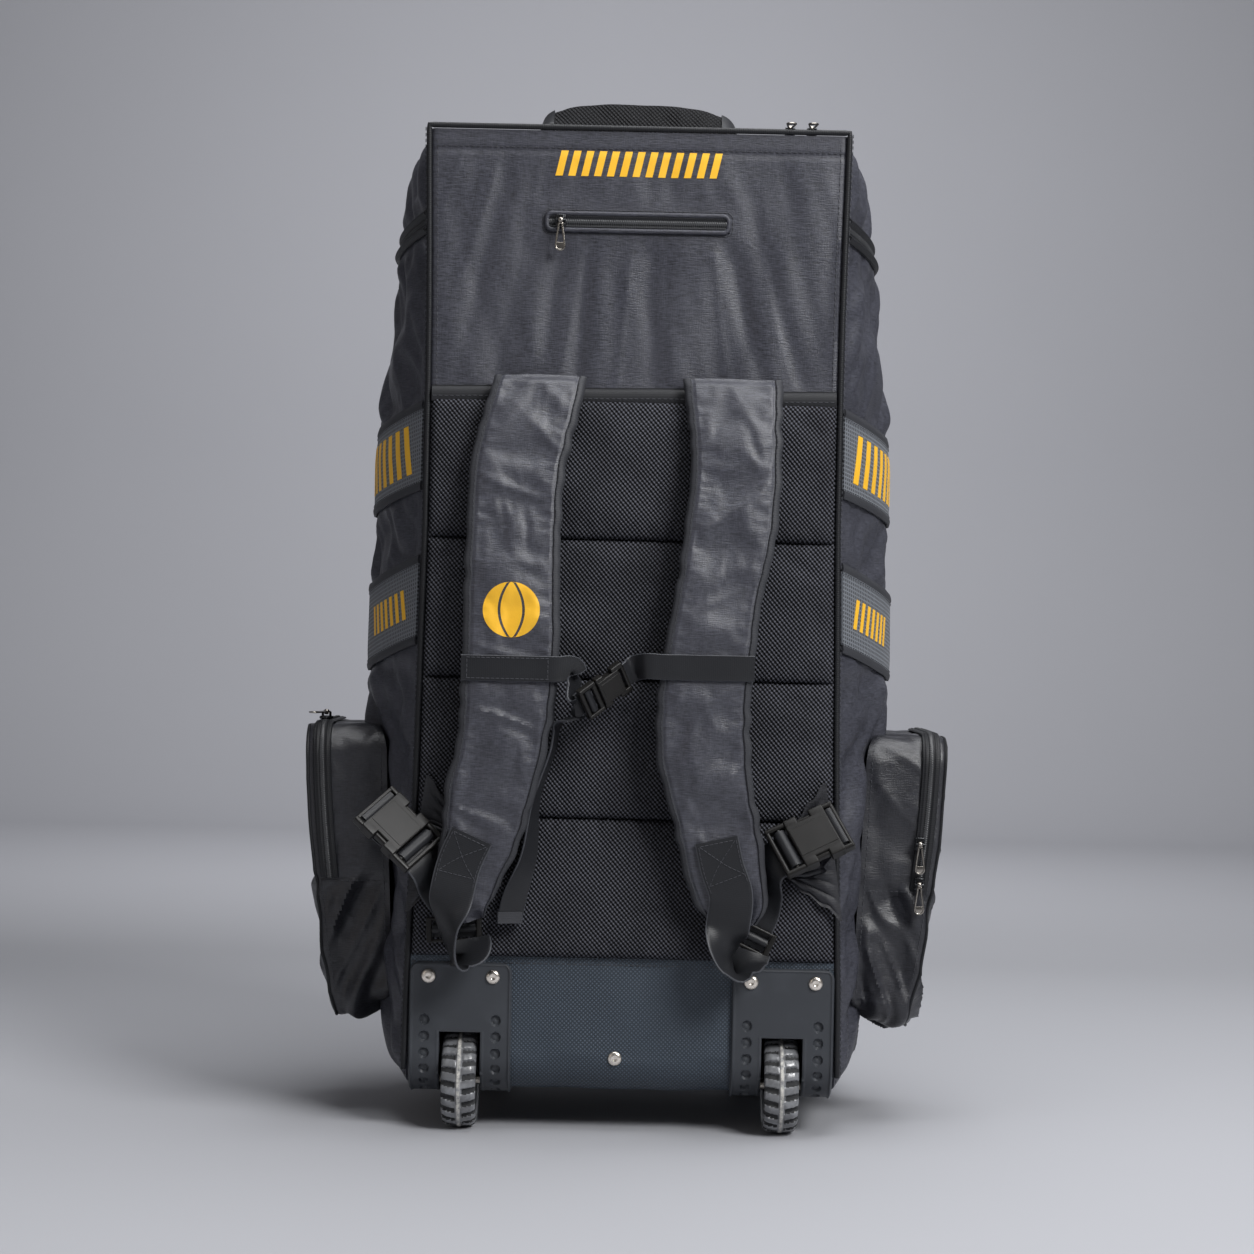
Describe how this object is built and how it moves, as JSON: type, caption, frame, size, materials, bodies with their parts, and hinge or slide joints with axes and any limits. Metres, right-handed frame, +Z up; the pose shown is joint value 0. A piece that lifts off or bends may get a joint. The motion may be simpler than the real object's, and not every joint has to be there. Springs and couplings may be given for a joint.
{
  "type": "wheeled kit bag",
  "caption": "Upright hollow cloth kit bag with quilted back pads, padded shoulder straps, sternum strap, side pockets, zips, grab handle and corner wheels.",
  "frame": {"origin": "floor level, under the middle of the bag's width and depth", "axes": "+Z up, the harness side faces -Y, +X is to the right of someone who looks at the harness side"},
  "size_m": [0.5758, 0.4308, 0.9159],
  "materials": {
    "coated_cloth": "coated woven polyester",
    "woven_cloth": "plain woven polyester",
    "spacer_mesh": "diagonal spacer mesh over foam",
    "band_cloth": "gridded woven band with printed bars",
    "webbing": "flat woven webbing",
    "trim": "zip tape, binding and piping",
    "buckle_plastic": "moulded acetal, satin",
    "plate_plastic": "moulded polypropylene, fine grain",
    "tyre_rubber": "satin treaded tyre on its hub",
    "nickel": "nickel-plated steel",
    "black_metal": "black-plated zinc casting"
  },
  "bodies": {
    "bag": {"left_side_panel": "woven_cloth", "right_side_panel": "woven_cloth", "front_panel": "woven_cloth", "base_panel": "coated_cloth", "top_panel": "woven_cloth", "upper_back_panel": "woven_cloth", "back_pad_1": "spacer_mesh", "back_pad_2": "spacer_mesh", "back_pad_3": "spacer_mesh", "back_pad_4": "spacer_mesh", "pad_binding": "trim", "lower_back_panel": "coated_cloth", "back_piping": "trim", "band_upper": "band_cloth", "band_lower": "band_cloth", "panel_zip": "trim", "top_zip": "trim", "wrap_zip": "trim", "side_pocket_left": "woven_cloth", "side_pocket_zip_left": "trim", "side_pocket_right": "woven_cloth", "side_pocket_zip_right": "trim", "grab_handle": "spacer_mesh", "shoulder_strap_left": "woven_cloth", "shoulder_strap_right": "woven_cloth", "strap_web_left": "webbing", "strap_web_right": "webbing", "ladder_lock_left": "buckle_plastic", "ladder_lock_right": "buckle_plastic", "side_buckle_left": "buckle_plastic", "side_buckle_right": "buckle_plastic", "lower_web_left": "webbing", "lower_web_right": "webbing", "wing_left": "woven_cloth", "wing_right": "woven_cloth", "sternum_buckle_male": "buckle_plastic", "sternum_buckle_female": "buckle_plastic", "sternum_web_left": "webbing", "sternum_web_right": "webbing", "sternum_tail": "webbing", "wheel_plate_left": "plate_plastic", "axle_left": "nickel", "rivet_left_outer": "nickel", "rivet_left_inner": "nickel", "wheel_plate_right": "plate_plastic", "axle_right": "nickel", "rivet_right_outer": "nickel", "rivet_right_inner": "nickel", "rivet_centre": "nickel", "foot_left": "buckle_plastic", "foot_right": "buckle_plastic"},
    "wheel_left": {"wheel_left": "tyre_rubber"},
    "wheel_right": {"wheel_right": "tyre_rubber"},
    "panel_zip_pull": {"panel_zip_pull": "black_metal"},
    "top_zip_pull_inner": {"top_zip_pull_inner": "black_metal"},
    "top_zip_pull_outer": {"top_zip_pull_outer": "black_metal"},
    "wrap_zip_pull": {"wrap_zip_pull": "black_metal"},
    "pocket_zip_pull_left": {"pocket_zip_pull_left": "black_metal"},
    "pocket_zip_pull_right_low": {"pocket_zip_pull_right_low": "black_metal"},
    "pocket_zip_pull_right_high": {"pocket_zip_pull_right_high": "black_metal"}
  },
  "joints": [
    {"name": "wheel_left_spin", "type": "hinge", "parent": "bag", "child": "wheel_left", "pos_m": [-0.14, -0.117, 0.042], "axis": [1, 0, 0], "continuous": true},
    {"name": "wheel_right_spin", "type": "hinge", "parent": "bag", "child": "wheel_right", "pos_m": [0.14, -0.117, 0.042], "axis": [1, 0, 0], "continuous": true},
    {"name": "panel_zip_pull_swing", "type": "hinge", "parent": "bag", "child": "panel_zip_pull", "pos_m": [-0.0668, -0.1525, 0.792], "axis": [1, 0, 0], "range_deg": [-95, 6]},
    {"name": "top_zip_pull_inner_swing", "type": "hinge", "parent": "bag", "child": "top_zip_pull_inner", "pos_m": [0.13197, -0.117, 0.8816], "axis": [1, 0, 0], "range_deg": [-100, 0]},
    {"name": "top_zip_pull_outer_swing", "type": "hinge", "parent": "bag", "child": "top_zip_pull_outer", "pos_m": [0.15105, -0.117, 0.8816], "axis": [1, 0, 0], "range_deg": [-100, 0]},
    {"name": "wrap_zip_pull_swing", "type": "hinge", "parent": "bag", "child": "wrap_zip_pull", "pos_m": [0.21769, -0.05893, 0.78493], "axis": [0.2171, 0.9762, 0], "range_deg": [-95, 6]},
    {"name": "pocket_zip_pull_left_swing", "type": "hinge", "parent": "bag", "child": "pocket_zip_pull_left", "pos_m": [-0.2726, -0.039, 0.3586], "axis": [0.9119, -0.4104, 0], "range_deg": [-100, 0]},
    {"name": "pocket_zip_pull_right_low_swing", "type": "hinge", "parent": "bag", "child": "pocket_zip_pull_right_low", "pos_m": [0.2627, -0.0846, 0.217], "axis": [1, 0, 0], "range_deg": [-95, 6]},
    {"name": "pocket_zip_pull_right_high_swing", "type": "hinge", "parent": "bag", "child": "pocket_zip_pull_right_high", "pos_m": [0.2627, -0.0846, 0.253], "axis": [1, 0, 0], "range_deg": [-95, 6]}
  ]
}
